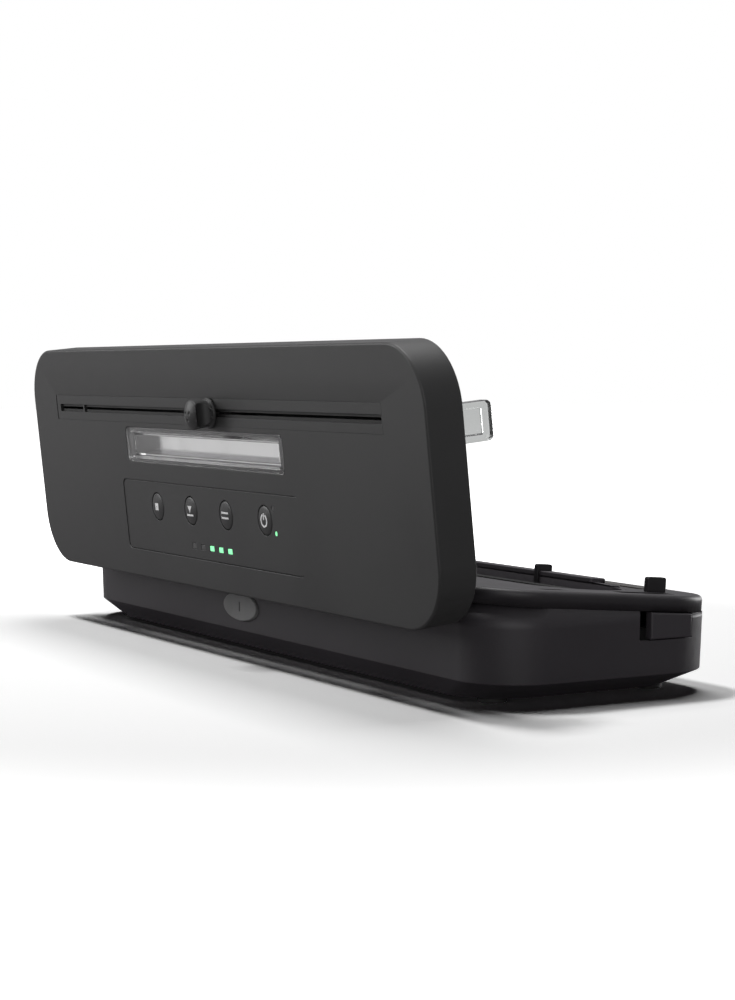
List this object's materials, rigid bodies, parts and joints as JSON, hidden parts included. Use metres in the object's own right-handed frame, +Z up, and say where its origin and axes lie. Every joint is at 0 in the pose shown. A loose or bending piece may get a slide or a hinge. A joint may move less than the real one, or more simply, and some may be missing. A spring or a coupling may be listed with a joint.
{
  "type": "countertop bag sealer",
  "caption": "Low countertop vacuum bag sealer with a hinged lid that carries a keypad, window and sliding bag cutter; lid open.",
  "frame": {"origin": "middle of the whole box on the floor, with the lid open", "axes": "+X to the user's right, +Y to the back, +Z up"},
  "size_m": [0.3852, 0.1484, 0.1373],
  "materials": {
    "base_shell": "satin moulded",
    "deck_shell": "satin moulded",
    "liner": "satin moulded",
    "gasket_foam": "closed-cell foam",
    "bar_metal": "extruded",
    "heater_metal": "flat strip",
    "release_tape": "coated glass cloth",
    "guide_plastic": "satin moulded",
    "tab_plastic": "satin moulded",
    "hinge_plastic": "satin moulded",
    "pin_steel": "ground",
    "gland_rubber": "moulded",
    "foot_rubber": "moulded",
    "screw_steel": "zinc plated",
    "motor_steel": "plated can",
    "pump_plastic": "moulded",
    "hose_silicone": "translucent silicone",
    "circuit_board": "solder mask",
    "core_iron": "laminated core with winding",
    "switch_plastic": "moulded",
    "button_plastic": "satin moulded",
    "catch_plastic": "moulded",
    "spring_steel": "spring wire",
    "lid_shell": "satin moulded",
    "lid_plate": "satin moulded",
    "clear_lens": "polished clear plastic",
    "panel_film": "fine texture film",
    "light_green": "diffused light pipes",
    "light_small": "diffused light pipes",
    "key_plastic": "satin domed",
    "rail_plastic": "satin moulded",
    "knob_plastic": "satin moulded",
    "blade_steel": "ground",
    "silicone_strip": "silicone",
    "clear_hook": "polished clear plastic"
  },
  "bodies": {
    "base": {"bag_guide_rib": "guide_plastic", "bag_guide_tabs": "tab_plastic", "base_lower_shell": "base_shell", "base_screws": "screw_steel", "base_top_deck": "deck_shell", "chamber_liner": "liner", "cord_gland": "gland_rubber", "heating_strip": "heater_metal", "hinge_brackets": "hinge_plastic", "hinge_pins": "pin_steel", "latch_spring_left": "spring_steel", "latch_spring_right": "spring_steel", "lid_switches": "switch_plastic", "lower_gasket": "gasket_foam", "power_board": "circuit_board", "pump_cradle": "foot_rubber", "pump_head": "pump_plastic", "pump_motor": "motor_steel", "release_tape": "release_tape", "rubber_feet": "foot_rubber", "sealing_bar": "bar_metal", "spring_posts": "catch_plastic", "suction_hose": "hose_silicone", "transformer": "core_iron", "vent_valve": "pump_plastic"},
    "lid": {"lid_cover": "lid_shell", "lid_inner_plate": "lid_plate", "window_lens": "clear_lens", "control_panel": "panel_film", "control_board": "circuit_board", "key_switches": "switch_plastic", "status_lights": "light_green", "mode_lights": "light_small", "cutter_rail": "rail_plastic", "upper_gasket": "gasket_foam", "press_strip": "silicone_strip", "latch_hook_left": "clear_hook", "latch_hook_right": "clear_hook", "hinge_arms": "hinge_plastic", "lid_screws": "screw_steel"},
    "release_left": {"release_button_left": "button_plastic", "latch_catch_left": "catch_plastic"},
    "release_right": {"release_button_right": "button_plastic", "latch_catch_right": "catch_plastic"},
    "cutter": {"cutter_knob": "knob_plastic", "cutter_carriage": "knob_plastic", "cutter_blade": "blade_steel"},
    "stop_key": {"stop_button": "key_plastic"},
    "vacuum_key": {"vacuum_button": "key_plastic"},
    "seal_key": {"seal_button": "key_plastic"},
    "mode_key": {"mode_button": "key_plastic"}
  },
  "joints": [
    {"name": "lid_hinge", "type": "hinge", "parent": "base", "child": "lid", "pos_m": [0, 0.03049, 0.03732], "axis": [1, 0, 0], "range_deg": [0, 100.63]},
    {"name": "release_left_press", "type": "slide", "parent": "base", "child": "release_left", "axis": [1, 0, 0], "range_m": [0, 0.003], "stiffness_N_per_m": 500, "deforming": ["latch_spring_left"]},
    {"name": "release_right_press", "type": "slide", "parent": "base", "child": "release_right", "axis": [-1, 0, 0], "range_m": [0, 0.003], "stiffness_N_per_m": 500, "deforming": ["latch_spring_right"]},
    {"name": "cutter_slide", "type": "slide", "parent": "lid", "child": "cutter", "axis": [1, 0, 0], "range_m": [-0.1366, 0.1324]},
    {"name": "stop_press", "type": "slide", "parent": "lid", "child": "stop_key", "axis": [0, -0.9945, 0.1045], "range_m": [0, 0.0008], "stiffness_N_per_m": 400},
    {"name": "vacuum_press", "type": "slide", "parent": "lid", "child": "vacuum_key", "axis": [0, -0.9945, 0.1045], "range_m": [0, 0.0008], "stiffness_N_per_m": 400},
    {"name": "seal_press", "type": "slide", "parent": "lid", "child": "seal_key", "axis": [0, -0.9945, 0.1045], "range_m": [0, 0.0008], "stiffness_N_per_m": 400},
    {"name": "mode_press", "type": "slide", "parent": "lid", "child": "mode_key", "axis": [0, -0.9945, 0.1045], "range_m": [0, 0.0008], "stiffness_N_per_m": 400}
  ]
}
